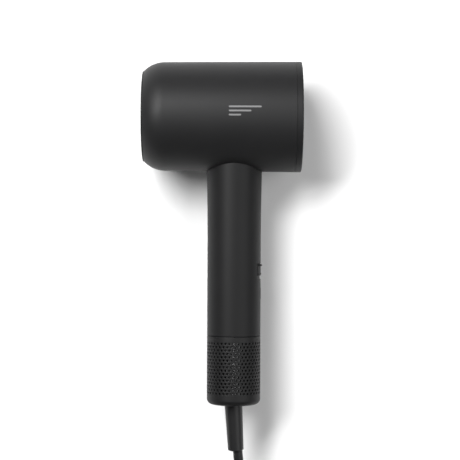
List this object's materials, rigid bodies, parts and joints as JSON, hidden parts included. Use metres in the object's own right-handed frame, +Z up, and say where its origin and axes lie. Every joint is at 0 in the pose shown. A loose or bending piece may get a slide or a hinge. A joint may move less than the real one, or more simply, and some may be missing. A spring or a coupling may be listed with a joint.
{
  "type": "hair dryer",
  "caption": "Handheld hair dryer with a round drum-shaped barrel, a plain cylindrical handle that houses the motor, a perforated intake cage at its foot, and a mains lead.",
  "frame": {"origin": "middle of the dryer's footprint as it lies on its side, on the surface it lies on; the mains lead and what is on it are left out", "axes": "+X from the air outlet to the rear cover, -Y down the handle, +Z up from the surface"},
  "size_m": [0.1288, 0.4613, 0.08],
  "materials": {
    "shell_plastic": "satin, fine texture",
    "trim_plastic": "satin",
    "cage_plastic": "satin",
    "key_plastic": "satin",
    "lens": "clear",
    "board": "solder mask",
    "switch_metal": "stamped",
    "steel": "plain",
    "magnet": "nickel plated",
    "grille_plastic": "heat resistant",
    "gold": "plated",
    "potting": "potted block",
    "duct_plastic": "heat resistant",
    "mica": "laminated sheet",
    "heater_wire": "oxidised",
    "ceramic": "fired",
    "chassis_plastic": "moulded",
    "white_plastic": "moulded",
    "capacitor_sleeve": "shrink sleeve",
    "copper": "enamelled wire",
    "black_epoxy": "moulded",
    "wire_jacket": "insulation",
    "motor_metal": "machined",
    "aluminium": "machined",
    "rubber": "soft",
    "mesh_steel": "woven",
    "cord_jacket": "moulded jacket",
    "strap": "hook and loop",
    "pin_metal": "nickel plated"
  },
  "bodies": {
    "dryer": {"barrel_shell": "shell_plastic", "rear_ring": "trim_plastic", "rear_cover": "trim_plastic", "indicator_lenses": "lens", "control_board": "board", "control_switches": "switch_metal", "control_board_screws": "steel", "outlet_bezel": "trim_plastic", "outlet_magnets": "magnet", "outlet_grille": "grille_plastic", "ion_emitter": "gold", "ion_generator": "potting", "air_duct": "duct_plastic", "heater_liner": "mica", "heater_frame": "mica", "heater_coil": "heater_wire", "thermostat": "steel", "thermal_fuse": "ceramic", "handle_shell": "shell_plastic", "handle_chassis": "chassis_plastic", "slide_switch": "switch_metal", "cool_shot_switch": "switch_metal", "main_board": "board", "main_capacitor": "capacitor_sleeve", "filter_choke": "copper", "board_chips": "black_epoxy", "terminal_block": "white_plastic", "supply_leads": "wire_jacket", "motor_housing": "motor_metal", "motor_sleeve_upper": "rubber", "motor_sleeve_lower": "rubber", "motor_bearing_upper": "steel", "motor_bearing_lower": "steel", "diffuser": "motor_metal", "stator_core": "steel", "stator_coils": "copper", "filter_frame": "trim_plastic", "filter_mesh": "mesh_steel", "cage_seal": "rubber", "cable_gland": "trim_plastic", "strain_relief": "cord_jacket", "cord_lead": "cord_jacket", "cord_coil": "cord_jacket", "coil_tie": "strap", "cord_tail": "cord_jacket", "plug_body": "cord_jacket", "plug_pins": "pin_metal"},
    "rotor": {"motor_shaft": "steel", "rotor_magnet": "magnet", "impeller": "aluminium"},
    "slider": {"power_slider": "key_plastic", "switch_lever": "white_plastic"},
    "cool_shot": {"cool_shot_button": "key_plastic"},
    "speed_key": {"speed_button": "key_plastic"},
    "heat_key": {"heat_button": "key_plastic"},
    "cage": {"intake_cage": "cage_plastic"}
  },
  "joints": [
    {"name": "rotor_spin", "type": "hinge", "parent": "dryer", "child": "rotor", "pos_m": [0.00905, 0, 0.04], "axis": [0, 1, 0], "continuous": true},
    {"name": "power_slide", "type": "slide", "parent": "dryer", "child": "slider", "axis": [0, -1, 0], "range_m": [0, 0.002]},
    {"name": "cool_shot_press", "type": "slide", "parent": "dryer", "child": "cool_shot", "axis": [-1, 0, 0], "range_m": [0, 0.0012], "stiffness_N_per_m": 600, "springref_m": -0.001},
    {"name": "speed_press", "type": "slide", "parent": "dryer", "child": "speed_key", "axis": [-1, 0, 0], "range_m": [0, 0.0008], "stiffness_N_per_m": 400, "springref_m": -0.001},
    {"name": "heat_press", "type": "slide", "parent": "dryer", "child": "heat_key", "axis": [-1, 0, 0], "range_m": [0, 0.0008], "stiffness_N_per_m": 400, "springref_m": -0.001},
    {"name": "cage_pull", "type": "slide", "parent": "dryer", "child": "cage", "axis": [0, -1, 0], "range_m": [0, 0.04]}
  ]
}
